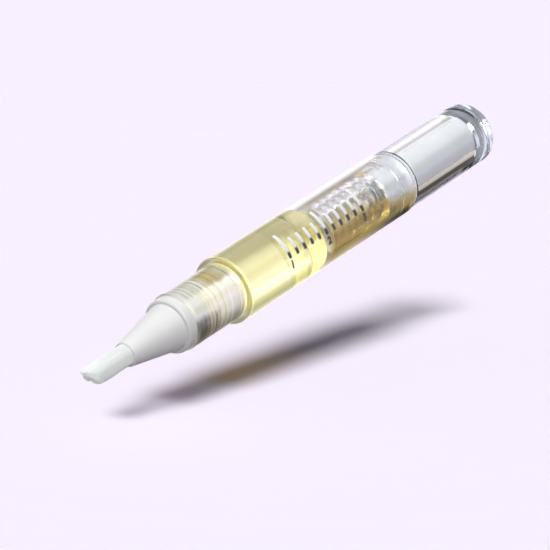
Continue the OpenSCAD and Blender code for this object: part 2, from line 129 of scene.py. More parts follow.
class Wire:
    """A node's output socket, on which Python's arithmetic adds Math nodes."""

    __add__ = math_node("ADD")
    __radd__ = math_node("ADD", reflected=True)
    __sub__ = math_node("SUBTRACT")
    __rsub__ = math_node("SUBTRACT", reflected=True)
    __mul__ = math_node("MULTIPLY")
    __rmul__ = math_node("MULTIPLY", reflected=True)
    __truediv__ = math_node("DIVIDE")
    __rtruediv__ = math_node("DIVIDE", reflected=True)
    least = math_node("MINIMUM")
    most = math_node("MAXIMUM")
    under = math_node("LESS_THAN")
    turn_over = math_node("ARCTAN2")

    def __init__(self, board: "Board", socket: bpy.types.NodeSocket) -> None:
        """Wraps an output socket of a board's tree."""
        self.board = board
        self.socket = socket

    def func(self, operation: str) -> "Wire":
        """A Math node of this alone, such as SINE or ABSOLUTE."""
        return self.board.node("ShaderNodeMath", {0: self}, operation=operation)

    def step(self, low: float, high: float) -> "Wire":
        """A smooth step from 0 at low to 1 at high.

        Args:
            low: the value where the step begins.
            high: the value where it ends, above or below low.

        Returns:
            The step's wire.
        """
        values = {"Value": self, "From Min": min(low, high), "From Max": max(low, high)}
        if high < low:
            values |= {"To Min": 1.0, "To Max": 0.0}
        return self.board.node("ShaderNodeMapRange", values, interpolation_type="SMOOTHSTEP")


class Board:
    """A shader or geometry node tree that nodes are added to."""

    def __init__(self, tree: bpy.types.NodeTree) -> None:
        """Takes over a node tree."""
        self.tree = tree

    def node(
        self, kind: str, inputs: dict[int | str, Any] | None = None, out: int | str = 0, **settings: Any,
    ) -> Wire:
        """Adds a node.

        Args:
            kind: the node's type name.
            inputs: values or wires, by the socket's identifier, name or number.
            out: the output to give back, by identifier, name or number.
            settings: its properties, set first; "stops" are a colour ramp's places and colours.

        Returns:
            The wire of that output, or of nothing where a node has none.
        """
        made = self.tree.nodes.new(kind)
        for name, value in settings.items():
            if name == "stops":
                self._set_stops(made, value)
            else:
                setattr(made, name, value)
        for key, value in (inputs or {}).items():
            socket = self._find(made.inputs, key)
            if isinstance(value, Wire):
                self.tree.links.new(value.socket, socket)
            elif socket.type == "RGBA":
                socket.default_value = (*value, 1.0)
            else:
                socket.default_value = value
        return Wire(self, self._find(made.outputs, out) if made.outputs else None)

    @staticmethod
    def _set_stops(made: bpy.types.Node, stops: Sequence[tuple[float, Colour]]) -> None:
        """Gives a colour ramp its stops.

        Args:
            made: the ramp's node.
            stops: each stop's place, from 0 to 1, and colour.
        """
        elements = made.color_ramp.elements
        while len(elements) < len(stops):
            elements.new(1.0)
        for element, (place, colour) in zip(elements, stops):
            element.position = place
            element.color = (*colour, 1.0)

    @staticmethod
    def _find(sockets: Any, key: int | str) -> bpy.types.NodeSocket:
        """Finds a socket.

        Args:
            sockets: a node's inputs or outputs.
            key: the socket's number, identifier or name, tried in that order.

        Returns:
            The socket.
        """
        if isinstance(key, int):
            return sockets[key]
        for socket in sockets:
            if socket.identifier == key:
                return socket
        return sockets[key]

    def mix(self, share: Any, first: Any, second: Any) -> Wire:
        """Mixes two colours.

        Args:
            share: 0 for the first colour and 1 for the second.
            first: a colour or wire.
            second: a colour or wire.

        Returns:
            The mixed colour's wire.
        """
        values = {"Factor_Float": share, "A_Color": first, "B_Color": second}
        return self.node("ShaderNodeMix", values, "Result_Color", data_type="RGBA")

    def noise(self, scale: float, detail: float, where: Wire | None = None) -> Wire:
        """Noise on the piece's own coordinates.

        Args:
            scale: waves per metre.
            detail: octaves.
            where: other coordinates to read.

        Returns:
            The noise, about 0.5 on average.
        """
        place = where or self.place()
        return self.node("ShaderNodeTexNoise", {"Vector": place, "Scale": scale, "Detail": detail})

    def place(self) -> Wire:
        """The piece's own coordinates."""
        return self.node("ShaderNodeTexCoord", out="Object")

    def axes(self, vector: Wire) -> tuple[Wire, Wire, Wire]:
        """The three parts of a vector."""
        made = self.node("ShaderNodeSeparateXYZ", {0: vector})
        return tuple(Wire(self, socket) for socket in made.socket.node.outputs)

    def vector(self, x: Any, y: Any, z: Any) -> Wire:
        """A vector from three values or wires."""
        return self.node("ShaderNodeCombineXYZ", {0: x, 1: y, 2: z})

    def ray(self, kind: str) -> Wire:
        """An output of the Light Path node."""
        return self.node("ShaderNodeLightPath", out=kind)

    def principled(self, values: dict[str, Any]) -> Wire:
        """A Principled shader with these sockets."""
        return self.node("ShaderNodeBsdfPrincipled", values)

    def bump(self, height: Wire, strength: float = 1.0, distance: float = 1.0) -> Wire:
        """A normal that follows a height."""
        values = {"Strength": strength, "Distance": distance, "Height": height}
        return self.node("ShaderNodeBump", values)

    def mix_shaders(self, share: Wire, first: Wire, second: Wire) -> Wire:
        """A mix of two shaders, 0 for the first and 1 for the second."""
        return self.node("ShaderNodeMixShader", {0: share, 1: first, 2: second})


def reach(*parts: Wire) -> Wire:
    """The length of a vector from its parts."""
    return sum(part * part for part in parts).func("SQRT")


def scaled(colour: Colour, share: float) -> Colour:
    """A colour times a number."""
    return tuple(share * part for part in colour)


@dataclass(frozen=True)
class Pen:
    """Sizes of the pen in millimetres, and where its stations lie in the frame."""

    tail_x: float
    tail: float = 74.35
    axis_z: float = 6.0
    neck_front: float = -12.7
    throat: float = -0.8
    chamber_front: float = 0.4
    barrel_r: float = 6.0
    chamber_r: float = 4.9
    neck_bore_r: float = 4.1
    thread_pitch: float = 2.0

    @property
    def shift(self) -> float:
        """What turns a station into the frame's X, in millimetres."""
        return self.tail_x - self.tail

    def x(self, station: float) -> float:
        """The frame's X, in metres, of a station."""
        return (station + self.shift) * MM

    def point(self, station: float, radius: float, turn: float) -> Vector:
        """A point round the pen's axis, in metres.

        Args:
            station: how far behind the shoulder, in millimetres.
            radius: distance from the axis.
            turn: angle in radians from the top towards -Y.

        Returns:
            The point in the frame.
        """
        return Vector((
            self.x(station),
            -radius * math.sin(turn) * MM,
            (self.axis_z + radius * math.cos(turn)) * MM,
        ))


class Spot:
    """Where a shaded point lies on the pen, as wires in millimetres."""

    def __init__(self, board: Board, pen: Pen) -> None:
        """Reads the piece's own coordinates.

        Args:
            board: the material's board.
            pen: the pen's frame.
        """
        x, y, z = board.axes(board.place())
        self.board = board
        self.pen = pen
        self.station = x * PER_METRE - pen.shift
        self.side = y * PER_METRE
        self.height = z * PER_METRE
        self.rise = self.height - pen.axis_z

    def radius(self) -> Wire:
        """How far the point is from the pen's axis."""
        return reach(self.side, self.rise)

    def band(self, start: float, end: float, fade: float = 0.25) -> Wire:
        """1 between two stations and 0 elsewhere, with soft ends."""
        return self.station.step(start - fade, start + fade) * self.station.step(end + fade, end - fade)

    def thread(self) -> Wire:
        """The screw thread's wave, from -1 to 1."""
        turns = self.station * (2 * math.pi / self.pen.thread_pitch)
        return (turns + self.side.turn_over(self.rise)).func("SINE")


@dataclass(frozen=True)
class TopShadeAndLowTint:
    """Tints on a clear wall: painted shade streaked along its top, and a golden tint low down."""

    # film is painted shade along the top, standing in for the shade seen through the wall; its streaks
    # follow the thread.
    film: Colour
    painted_shade_height: Stretch
    painted_shade_band: tuple[float, float, float]
    streaks: float
    # wet is a golden tint low on the wall, from a station on, below an uneven height that sinks further
    # back.
    wet: Colour
    tint_level: Stretch
    drop: float
    ragged: float = 0.0
    tint_start: Stretch = (20.0, 21.0)
    streak_edge: Stretch = (-0.6, 0.9)
    less_tint_from: Stretch = (39.0, 42.0)
    slant: float = 0.3
    unevenness: float = 180.0

    def tinted(self, spot: Spot, clear: Wire) -> Wire:
        """Colours the wall.

        Args:
            spot: where a point lies on the pen.
            clear: the plastic's colour so far.

        Returns:
            The colour's wire.
        """
        blur = (spot.board.noise(900.0, 3.0) - 0.5) * self.ragged
        streak = (spot.thread() + blur).step(*self.streak_edge)
        # Painted shade along the top, streaked by the thread.
        top = spot.height.step(*self.painted_shade_height) * spot.band(*self.painted_shade_band)
        top_shaded = spot.board.mix(top * (1.0 - self.streaks + self.streaks * streak), clear, self.film)
        # A golden tint below an uneven height, which sinks further back.
        level = spot.height + spot.side * self.slant + (spot.board.noise(self.unevenness, 3.0) - 0.5)
        level = level + spot.station.step(*self.less_tint_from) * self.drop
        wet = spot.station.step(*self.tint_start) * level.step(*self.tint_level)
        return spot.board.mix(wet, top_shaded, self.wet)


@dataclass(frozen=True)
class PaintedShadePatch:
    """A patch of painted shade on the spigot, tinted by the oil over it.

    Its edges are steps in millimetres, down as the camera sees it and along the pen.
    """

    shade: Colour
    down: tuple[Stretch, ...]
    along: tuple[Stretch, ...] = ()
    waves: float = 0.0
    ragged: float = 0.0


@dataclass(frozen=True)
class Finish:
    """A procedural finish, which becomes one material."""

    name: str

    def material(self) -> bpy.types.Material:
        """Builds the material.

        Returns:
            The node material.
        """
        made = bpy.data.materials.new(self.name)
        made.use_nodes = True
        made.node_tree.nodes.clear()
        board = Board(made.node_tree)
        board.node("ShaderNodeOutputMaterial", self.wires(board))
        return made

    def wires(self, board: Board) -> dict[str, Wire]:
        """What feeds the material's output, by its sockets' names."""
        raise NotImplementedError


def let_light_through(board: Board, solid: Wire, tint: Colour) -> Wire:
    """Mixes a transparent shader into another for light from lamps.

    Args:
        board: the material's board.
        solid: the shader that everything else meets.
        tint: how much of that light each surface lets through.

    Returns:
        The mixed shader.
    """
    open_way = board.node("ShaderNodeBsdfTransparent", {"Color": tint})
    return board.mix_shaders(board.ray("Is Shadow Ray"), solid, open_way)


@dataclass(frozen=True)
class ClearPlastic(Finish):
    """Clear moulded plastic that bends light and lets lamps through, tinted.

    Some stretches along the pen may be frosted by the mould, and some carry a painted glow
    that stands in for the light their edges gather.
    """

    pen: Pen
    tint: Colour = (0.975, 0.982, 0.99)
    shade: Colour = (0.955, 0.965, 0.98)
    pass_on: Colour = (0.69, 0.68, 0.68)
    rough: float = 0.01
    wall: TopShadeAndLowTint | None = None
    threaded: Stretch | None = None
    frosted: tuple[Stretch, ...] = ()
    painted_light: tuple[tuple[Stretch, Colour], ...] = ()
    ior: float = 1.49
    ripple: float = 0.000001
    frost: float = 0.32
    bore_r: float = 2.5
    thread_depth: float = 0.00002

    def wires(self, board: Board) -> dict[str, Wire]:
        """Builds the clear shader.

        Args:
            board: the material's board.

        Returns:
            The surface's wire.
        """
        spot = Spot(board, self.pen)
        flow = board.noise(130.0, 2.0)
        colour = board.mix(flow.step(0.35, 0.65), self.tint, self.shade)
        if self.wall is not None:
            colour = self.wall.tinted(spot, colour)
        relief = board.noise(420.0, 1.0) * self.ripple
        if self.threaded is not None:
            bore = spot.radius().under(self.bore_r) * spot.band(*self.threaded)
            relief = relief + spot.thread() * bore * self.thread_depth
        rough = self.rough + flow * self.rough
        for stretch in self.frosted:
            rough = rough + spot.band(*stretch) * self.frost
        # Painted glow (emission) on the listed stretches, standing in for the light their edges gather.
        glow: Colour | Wire = BLACK
        for stretch, light in self.painted_light:
            glow = board.mix(spot.band(*stretch), glow, light)
        glass = board.principled({
            "Base Color": colour, "Roughness": rough, "IOR": self.ior, "Transmission Weight": 1.0,
            "Normal": board.bump(relief), "Emission Color": glow, "Emission Strength": 1.0,
        })
        return {"Surface": let_light_through(board, glass, self.pass_on)}


@dataclass(frozen=True)
class OilLiquid(Finish):
    """Clear pale yellow oil, whose colour deepens with its depth."""

    surface: Colour = (0.995, 0.99, 0.97)
    swirled: Colour = (1.0, 0.985, 0.93)
    pass_on: Colour = (0.9, 0.87, 0.8)
    depth_colour: Colour = (0.985, 0.965, 0.36)
    density: float = 110.0
    ior: float = 1.47

    def wires(self, board: Board) -> dict[str, Wire]:
        """Builds the liquid's surface and depth.

        Args:
            board: the material's board.

        Returns:
            The wires of the surface and the volume.
        """
        swirl = board.noise(90.0, 2.0)
        liquid = board.principled({
            "Base Color": board.mix(swirl, self.surface, self.swirled), "Roughness": swirl * 0.01,
            "IOR": self.ior, "Transmission Weight": 1.0,
        })
        absorbed = {"Color": self.depth_colour, "Density": self.density}
        depth = board.node("ShaderNodeVolumeAbsorption", absorbed)
        return {"Surface": let_light_through(board, liquid, self.pass_on), "Volume": depth}


@dataclass(frozen=True)
class SatinPlastic(Finish):
    """Moulded plastic with a satin skin, which may let a share of the lamps' light through."""

    base: Colour = (0.86, 0.86, 0.85)
    shade: Colour = (0.8, 0.81, 0.8)
    rough: float = 0.36
    grain: float = 0.000012
    soft: float = 0.0
    pass_on: Colour = BLACK
    seen_at: Callable[[Board, Wire], tuple[Wire, Wire]] | None = None

    def wires(self, board: Board) -> dict[str, Wire]:
        """Builds the satin shader.

        Args:
            board: the material's board.

        Returns:
            The surface's wire.
        """
        cloud = board.noise(260.0, 4.0)
        colour = board.mix(cloud.step(0.3, 0.7), self.base, self.shade)
        # The hook may recolour the skin and add painted light as emission.
        glow: Colour | Wire = BLACK
        if self.seen_at is not None:
            colour, glow = self.seen_at(board, colour)
        skin = board.principled({
            "Base Color": colour, "Roughness": self.rough + cloud * 0.1, "IOR": 1.5,
            "Normal": board.bump(board.noise(5200.0, 2.0), 0.35, self.grain),
            "Subsurface Weight": self.soft, "Subsurface Radius": (0.0012, 0.0011, 0.001),
            "Subsurface Scale": 1.0, "Emission Color": glow, "Emission Strength": 1.0,
        })
        return {"Surface": let_light_through(board, skin, self.pass_on)}


@dataclass(frozen=True)
class HazyPlastic(Finish):
    """Soft plastic that nearly vanishes in the oil round it."""

    base: Colour = (0.93, 0.92, 0.86)
    cloudy: Colour = (0.96, 0.95, 0.9)
    alpha: float = 0.16
    rough: float = 0.3
    ior: float = 1.05

    def wires(self, board: Board) -> dict[str, Wire]:
        """Builds the hazy shader.

        Args:
            board: the material's board.

        Returns:
            The surface's wire.
        """
        cloud = board.noise(300.0, 3.0)
        return {"Surface": board.principled({
            "Base Color": board.mix(cloud, self.base, self.cloudy), "Roughness": self.rough + cloud * 0.1,
            "IOR": self.ior, "Alpha": self.alpha * (0.8 + 0.4 * cloud),
        })}


@dataclass(frozen=True)
class WetNylon(Finish):
    """Pale translucent filaments, wet with oil, with a painted glow that is strongest on their cut ends.
    """

    root: Colour = (0.84, 0.86, 0.85)
    tip: Colour = (0.89, 0.91, 0.9)
    between: Colour = (0.64, 0.67, 0.65)
    # Painted glow (emission) on all the filaments, and a stronger one on their cut ends.
    gleam: Colour = (0.05, 0.05, 0.05)
    cut_gleam: Colour = (0.45, 0.46, 0.45)
    fade_x: Stretch = (-44.0, -54.0)

    def wires(self, board: Board) -> dict[str, Wire]:
        """Builds the filaments' shader.

        Args:
            board: the material's board.

        Returns:
            The surface's wire.
        """
        x, y, z = board.axes(board.place())
        strand = board.noise(9000.0, 1.0, board.vector(0.0, y, z))
        colour = board.mix((x * PER_METRE).step(*self.fade_x), self.root, self.tip)
        colour = board.mix(strand.step(0.35, 0.65) * 0.6, colour, self.between)
        # Faces that look towards the brush get the stronger painted glow.
        facing, _, _ = board.axes(board.node("ShaderNodeNewGeometry", out="Normal"))
        cut = (facing * -1.0).step(0.3, 0.9)
        return {"Surface": board.principled({
            "Base Color": colour, "Roughness": 0.22 + strand * 0.2, "IOR": 1.5,
            "Emission Color": board.mix(cut, self.gleam, self.cut_gleam), "Emission Strength": 1.0,
        })}


@dataclass(frozen=True)
class Ink(Finish):
    """Screen-printed ink, thin and slightly uneven, white above a line along the pen and black below."""

    pen: Pen
    dark: Colour = (0.012, 0.012, 0.014)
    pale: Colour = (0.88, 0.88, 0.87)
    worn: Colour = (0.4, 0.4, 0.4)
    line_turn: float = 62.0
    line_fade: float = 2.5

    def wires(self, board: Board) -> dict[str, Wire]:
        """Builds the ink's shader.

        Args:
            board: the material's board.

        Returns:
            The surface's wire.
        """
        wear = board.noise(2600.0, 3.0)
        spot = Spot(board, self.pen)
        turn = (spot.side * -1.0).turn_over(spot.rise) * (180.0 / math.pi)
        below = turn.step(self.line_turn - self.line_fade, self.line_turn + self.line_fade)
        colour = board.mix(wear * 0.12, board.mix(below, self.pale, self.dark), self.worn)
        return {"Surface": board.principled({"Base Color": colour, "Roughness": 0.3 + wear * 0.2})}


@dataclass(frozen=True)
class PaleFloor(Finish):
    """A matt floor that fades out into the backdrop and is open from below."""

    colour: Colour
    seen_share: float = 1.49
    bounce_share: float = 0.3
    dusty: float = 0.99
    fade: Stretch = (0.4, 0.2)

    def wires(self, board: Board) -> dict[str, Wire]:
        """Builds the floor's shader.

        Args:
            board: the material's board.

        Returns:
            The surface's wire.
        """
        near = reach(*board.axes(board.place())).step(*self.fade)
        above = 1.0 - board.node("ShaderNodeNewGeometry", out="Backfacing")
        seen = board.ray("Is Camera Ray")
        pale = scaled(self.colour, self.seen_share)
        albedo = board.mix(board.noise(60.0, 2.0) * 0.3, pale, scaled(pale, self.dusty))
        albedo = board.mix(seen, scaled(self.colour, self.bounce_share), albedo)
        flat = board.node("ShaderNodeBsdfDiffuse", {"Color": albedo})
        gone = board.node("ShaderNodeBsdfTransparent")
        solid = near * above * seen.most(board.ray("Is Diffuse Ray"))
        return {"Surface": board.mix_shaders(solid, gone, flat)}


@dataclass(frozen=True)
class DarkCard(Finish):
    """A black card with soft edges."""

    fades: tuple[tuple[str, Stretch], ...]

    def wires(self, board: Board) -> dict[str, Wire]:
        """Builds the card's shader.

        Args:
            board: the material's board.

        Returns:
            The surface's wire.
        """
        axes = dict(zip("xyz", board.axes(board.place())))
        dark = 1.0
        for axis, stretch in self.fades:
            dark = dark * (axes[axis] * PER_METRE).step(*stretch)
        black = board.node("ShaderNodeEmission", {"Color": BLACK, "Strength": 1.0})
        gone = board.node("ShaderNodeBsdfTransparent")
        return {"Surface": board.mix_shaders(dark, gone, black)}


def as_object(
    name: str, mesh: bpy.types.ID, material: bpy.types.Material | None = None
) -> bpy.types.Object:
    """Puts a mesh or curve in the scene.

    Args:
        name: the piece's name.
        mesh: its mesh, in the frame's coordinates.
        material: its only material.

    Returns:
        The new object.
    """
    made = bpy.data.objects.new(name, mesh)
    bpy.context.scene.collection.objects.link(made)
    if material is not None:
        mesh.materials.clear()
        mesh.materials.append(material)
    return made


def rounded_edge(outer_r: float, station: float, r: float, front: bool = True) -> Outline:
    """Rounds an outer edge of an outline.

    Args:
        outer_r: the outline's radius behind or in front of the edge.
        station: where the edge lies.
        r: the rounding's own radius.
        front: whether the edge looks towards the brush.

    Returns:
        The rounding's points.
    """
    middle, start = (station + r, -90) if front else (station - r, 0)
    turns = [math.radians(start + 15 * k) for k in range(7)]
    return [(outer_r - r + r * math.cos(t), middle + r * math.sin(t)) for t in turns]


def turned(
    pen: Pen, name: str, outline: Outline, material: bpy.types.Material, sides: int = 144,
    sharp_from: float = 32.0,
) -> bpy.types.Object:
    """Turns a closed outline round the pen's axis.

    Args:
        pen: the pen's frame.
        name: the piece's name.
        outline: (radius, station) points; a radius of 0 is a pole, at the outline's ends only.
        material: its finish.
        sides: how many faces go round.
        sharp_from: edges that turn by more degrees than this stay sharp.

    Returns:
        The turned piece, its faces outwards and smooth but for its edges.
    """
    points: list[Vector] = []
    rings: list[list[int]] = []
    for radius, station in outline:
        if radius == 0.0:
            rings.append([len(points)] * sides)
            points.append(pen.point(station, 0.0, 0.0))
            continue
        rings.append(list(range(len(points), len(points) + sides)))
        points += [pen.point(station, radius, 2 * math.pi * k / sides) for k in range(sides)]
    open_ends = outline[0][0] == 0.0 and outline[-1][0] == 0.0
    pairs = list(zip(rings, rings[1:])) + ([] if open_ends else [(rings[-1], rings[0])])
    faces = []
    for first, second in pairs:
        for k in range(sides):
            n = (k + 1) % sides
            corners = dict.fromkeys((first[k], second[k], second[n], first[n]))
            if len(corners) > 2:
                faces.append(tuple(corners))
    mesh = bpy.data.meshes.new(name)
    mesh.from_pydata(points, [], faces)
    mesh.validate()
    mesh.shade_smooth()
    mesh.set_sharp_from_angle(angle=math.radians(sharp_from))
    piece = as_object(name, mesh, material)
    face_outwards(piece)
    return piece


def face_outwards(piece: bpy.types.Object) -> None:
    """Turns a closed piece's faces outwards if its volume says they look in.

    Args:
        piece: the piece.
    """
    mesh = piece.data
    mesh.calc_loop_triangles()
    volume = 0.0
    for triangle in mesh.loop_triangles:
        a, b, c = (mesh.vertices[i].co for i in triangle.vertices)
        volume += a.dot(b.cross(c))
    if volume < 0:
        mesh.flip_normals()


class Growth:
    """A geometry node tree with named inputs, whose result becomes a plain mesh."""

    KINDS = {
        float: "NodeSocketFloat", int: "NodeSocketInt", bpy.types.Material: "NodeSocketMaterial",
    }

    def __init__(self, name: str, values: dict[str, Any]) -> None:
        """Makes the tree and its inputs.

        Args:
            name: the tree's and the piece's name.
            values: each input's name and value.
        """
        self.name = name
        self.values = values
        tree = bpy.data.node_groups.new(name + "_tree", "GeometryNodeTree")
        self.keys = {}
        for key, value in values.items():
            kind = next(k for t, k in self.KINDS.items() if isinstance(value, t))
            self.keys[key] = tree.interface.new_socket(key, in_out="INPUT", socket_type=kind).identifier
        tree.interface.new_socket("Geometry", in_out="OUTPUT", socket_type="NodeSocketGeometry")
        self.board = Board(tree)
        self.source = tree.nodes.new("NodeGroupInput")

    def __getitem__(self, key: str) -> Wire:
        """The wire of a named input."""
        return Wire(self.board, self.source.outputs[key])

    def position(self) -> tuple[Wire, Wire, Wire]:
        """The three coordinates of each point."""
        return self.board.axes(self.board.node("GeometryNodeInputPosition"))

    def moved(self, geometry: Wire, x: Any, y: Any, z: Any) -> Wire:
        """The geometry with each point moved to a new place."""
        values = {"Geometry": geometry, "Position": self.board.vector(x, y, z)}
        return self.board.node("GeometryNodeSetPosition", values)

    def grow(self, geometry: Wire, smooth: bool = True) -> bpy.types.Object:
        """Ends the tree and turns its result into a piece with a plain mesh.

        Args:
            geometry: what the tree has made so far.
            smooth: whether its faces are shaded smooth.

        Returns:
            The piece, with no modifier.
        """
        board = self.board
        real = board.node("GeometryNodeRealizeInstances", {0: geometry})
        shaded = board.node("GeometryNodeSetShadeSmooth", {"Geometry": real, "Shade Smooth": smooth})
        values = {"Geometry": shaded, "Material": self["Material"]}
        board.node("NodeGroupOutput", {0: board.node("GeometryNodeSetMaterial", values)})
        carrier = as_object(self.name, bpy.data.meshes.new(self.name + "_seed"))
        modifier = carrier.modifiers.new("Growth", "NODES")
        modifier.node_group = board.tree
        for key, value in self.values.items():
            modifier[self.keys[key]] = value
        graph = bpy.context.evaluated_depsgraph_get()
        mesh = bpy.data.meshes.new_from_object(carrier.evaluated_get(graph))
        mesh.materials.clear()
        mesh.materials.append(self.values["Material"])
        mesh.polygons.foreach_set("material_index", [0] * len(mesh.polygons))
        carrier.modifiers.clear()
        seed = carrier.data
        carrier.data = mesh
        bpy.data.meshes.remove(seed)
        mesh.name = self.name
        return carrier


def split_finish(piece: bpy.types.Object, x: float, finish: Finish, in_front: bool = False) -> None:
    """Gives the faces on one side of a place along the pen a second finish.

    Args:
        piece: the piece, which has one material so far.
        x: the place, in the frame's metres.
        finish: the second finish.
        in_front: whether it covers the faces towards the brush and not those towards the knob.
    """
    piece.data.materials.append(finish.material())
    for face in piece.data.polygons:
        face.material_index = int((face.center.x < x) == in_front)


def settle(piece: bpy.types.Object, body: Body) -> None:
    """Makes a piece ride on its body.

    Args:
        piece: the piece.
        body: what it moves with.
    """
    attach(piece, body.value)
    LOG.info("%s: %d faces, on %s", piece.name, len(piece.data.polygons), body.value)


@dataclass
class Shells:
    """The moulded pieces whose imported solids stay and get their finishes."""

    pen: Pen
    nodes: dict[str, bpy.types.Object]
    # Both walls: film is painted shade along the top, wet is a golden tint low down.
    barrel_wall: TopShadeAndLowTint = TopShadeAndLowTint(
        film=(0.85, 0.79, 0.75), painted_shade_height=(11.2, 11.8), painted_shade_band=(25.0, 45.5, 1.5), streaks=0.4,
        wet=(0.68, 0.575, 0.22), tint_level=(7.3, 5.5), drop=2.6, tint_start=(22.0, 24.0),
    )
    guide_wall: TopShadeAndLowTint = TopShadeAndLowTint(
        film=(0.64, 0.56, 0.5), painted_shade_height=(9.8, 10.6), painted_shade_band=(23.0, 39.5, 0.8), streaks=0.65,
        wet=(0.85, 0.75, 0.38), tint_level=(6.6, 4.8), drop=2.4, ragged=2.0,
    )

    def dress(self) -> None:
        """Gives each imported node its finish."""
        finishes = {
            # The glow colours listed for stretches are painted light (emission).
            "barrel": ClearPlastic(
                "clear_barrel_plastic", self.pen, wall=self.barrel_wall,
                frosted=((-0.35, 0.7), (-14.0, -12.35)),
                painted_light=(((-0.35, 0.75), (0.24, 0.22, 0.12)), ((-14.0, -12.4), (0.12, 0.12, 0.11))),
            ),
            "knob_shell": ClearPlastic("clear_knob_plastic", self.pen, pass_on=(0.94, 0.94, 0.94)),
            "end_plug": ClearPlastic(
                "clear_plug_plastic", self.pen, tint=(0.72, 0.75, 0.79), shade=(0.64, 0.67, 0.72),
                rough=0.03, painted_light=(((69.0, 71.3), (0.07, 0.073, 0.078)),),
            ),
            "thread_guide": ClearPlastic(
                "clear_guide_plastic", self.pen, tint=(0.94, 0.95, 0.97), rough=0.07,
                pass_on=(0.5, 0.49, 0.48), wall=self.guide_wall, threaded=(24.5, 40.0),
                frosted=((22.0, 24.6), (45.3, 50.0)),
                painted_light=(((22.0, 24.5), (0.17, 0.15, 0.08)), ((48.3, 50.0), (0.12, 0.12, 0.125))),
            ),
            "piston": HazyPlastic("natural_piston_plastic", alpha=0.08),
            "drive_sleeve": SatinPlastic(
                "white_sleeve_plastic", base=(0.86, 0.88, 0.91), shade=(0.83, 0.86, 0.89), rough=0.3
            ),
            "feed_tube": SatinPlastic("natural_tube_plastic", base=(0.85, 0.86, 0.82), rough=0.25),
        }
        for name, finish in finishes.items():
            self.nodes[name].data.materials[0] = finish.material()
            LOG.info("%s: %s", name, finish.name)


@dataclass
class OilFilling:
    """The oil: a still part in the neck, and a column in front of the piston.

    In the pen the column shortens as the piston comes forward; here it stays still.
    """

    pen: Pen
    wet: float = 0.03
    lap: float = 0.04
    column_end: float = 22.2
    end_round: float = 0.3
    travel: float = 15.0
    neck_start: float = -12.6
    well: float = -13.6
    slot_inner_r: float = 2.7
    slot_outer_r: float = 3.3
    slot_end: float = 0.3

    def build(self) -> bpy.types.Object:
        """Builds both parts.

        Returns:
            The part in the neck.
        """
        pen = self.pen
        thin = OilLiquid("pale_yellow_oil")
        deep = OilLiquid("deep_yellow_oil", pass_on=(0.78, 0.68, 0.49))
        neck_r = pen.neck_bore_r + self.wet
        wide_r = pen.chamber_r + self.wet
        front = turned(pen, "oil_in_neck", [
            (0.0, self.well), (self.slot_inner_r, self.well), (self.slot_inner_r, self.slot_end),
            (self.slot_outer_r, self.slot_end), (self.slot_outer_r, self.neck_start),
            (neck_r, self.neck_start), (neck_r, pen.throat), (wide_r, pen.chamber_front),
            (wide_r, pen.chamber_front + self.lap), (0.0, pen.chamber_front + self.lap),
        ], thin.material())
        column = turned(pen, "oil_column", [
            (0.0, pen.chamber_front), (wide_r, pen.chamber_front),
            *rounded_edge(wide_r, self.column_end, self.end_round, front=False), (0.0, self.column_end),
        ], deep.material())
        for piece in (front, column):
            settle(piece, Body.BARREL)
        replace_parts(column, "oil")
        pen.point(pen.chamber_front, 0.0, 0.0)
        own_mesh(column)
        return front


@dataclass
class ScrewRod:
    """The clear rod with its head, neck and right-hand thread with two flats."""

    pen: Pen
    head: float = 17.38
    neck: float = 18.78
    thread: float = 20.28
    end: float = 58.28
    head_r: float = 1.7
    head_bevel: float = 0.4
    neck_r: float = 1.1
    root_r: float = 1.4
    crest_r: float = 1.9
    flat: float = 1.3
    rise: Stretch = (0.35, 0.525)
    fall: Stretch = (0.825, 1.0)
    rows_per_mm: int = 10
    columns: int = 48
    held_to: float = 22.4
    sharp_from: float = 40.0

    def build(self) -> bpy.types.Object:
        """Grows the rod from a fine tube whose radius follows the thread.

        Returns:
            The rod.
        """
        length = self.end - self.head
        finish = ClearPlastic(
            "clear_rod_plastic", self.pen, tint=(0.93, 0.9, 0.84), shade=(0.9, 0.87, 0.8),
            pass_on=(0.85, 0.83, 0.8), rough=0.12,
        )
        growth = Growth("threaded_rod", {
            "Pitch": self.pen.thread_pitch, "Root radius": self.root_r, "Crest radius": self.crest_r,
            "Half flat": self.flat, "Head radius": self.head_r, "Neck radius": self.neck_r,
            "Rows": int(length * self.rows_per_mm), "Columns": self.columns, "Material": finish.material(),
        })
        board = growth.board
        tube = board.node("GeometryNodeMeshCylinder", {
            "Vertices": growth["Columns"], "Side Segments": growth["Rows"],
            "Radius": 1.0, "Depth": length,
        }, fill_type="TRIANGLE_FAN")
        x, y, z = growth.position()
        angle = y.turn_over(x)
        station = z + (length / 2 + self.head)
        turns = (station - self.thread) / growth["Pitch"] - angle / (2 * math.pi)
        phase = turns.func("FRACT")
        root = growth["Root radius"]
        crest = (phase.step(*self.rise) - phase.step(*self.fall)).most(0.0)
        ridge = root + (growth["Crest radius"] - root) * crest
        across = angle.func("COSINE").func("ABSOLUTE").most(0.05)
        threaded = ridge.least(growth["Half flat"] / across)
        before_thread = station.under(self.thread)
        before_neck = station.under(self.neck)
        bevel = (station - self.head).least(self.head_bevel)
        head = growth["Head radius"] - self.head_bevel + bevel
        stem = before_neck * head + (1.0 - before_neck) * growth["Neck radius"]
        radius = before_thread * stem + (1.0 - before_thread) * threaded
        spread = radius * reach(x, y)
        rod = growth.grow(growth.moved(
            tube,
            (station + self.pen.shift) * MM,
            spread * angle.func("SINE") * MM,
            self.pen.axis_z * MM - spread * angle.func("COSINE") * MM,
        ))
        rod.data.set_sharp_from_angle(angle=math.radians(self.sharp_from))
        split_finish(rod, self.pen.x(self.held_to), HazyPlastic("rod_in_piston", alpha=0.1), in_front=True)
        face_outwards(rod)
        settle(rod, Body.ROD)
        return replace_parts(rod, "screw_rod")


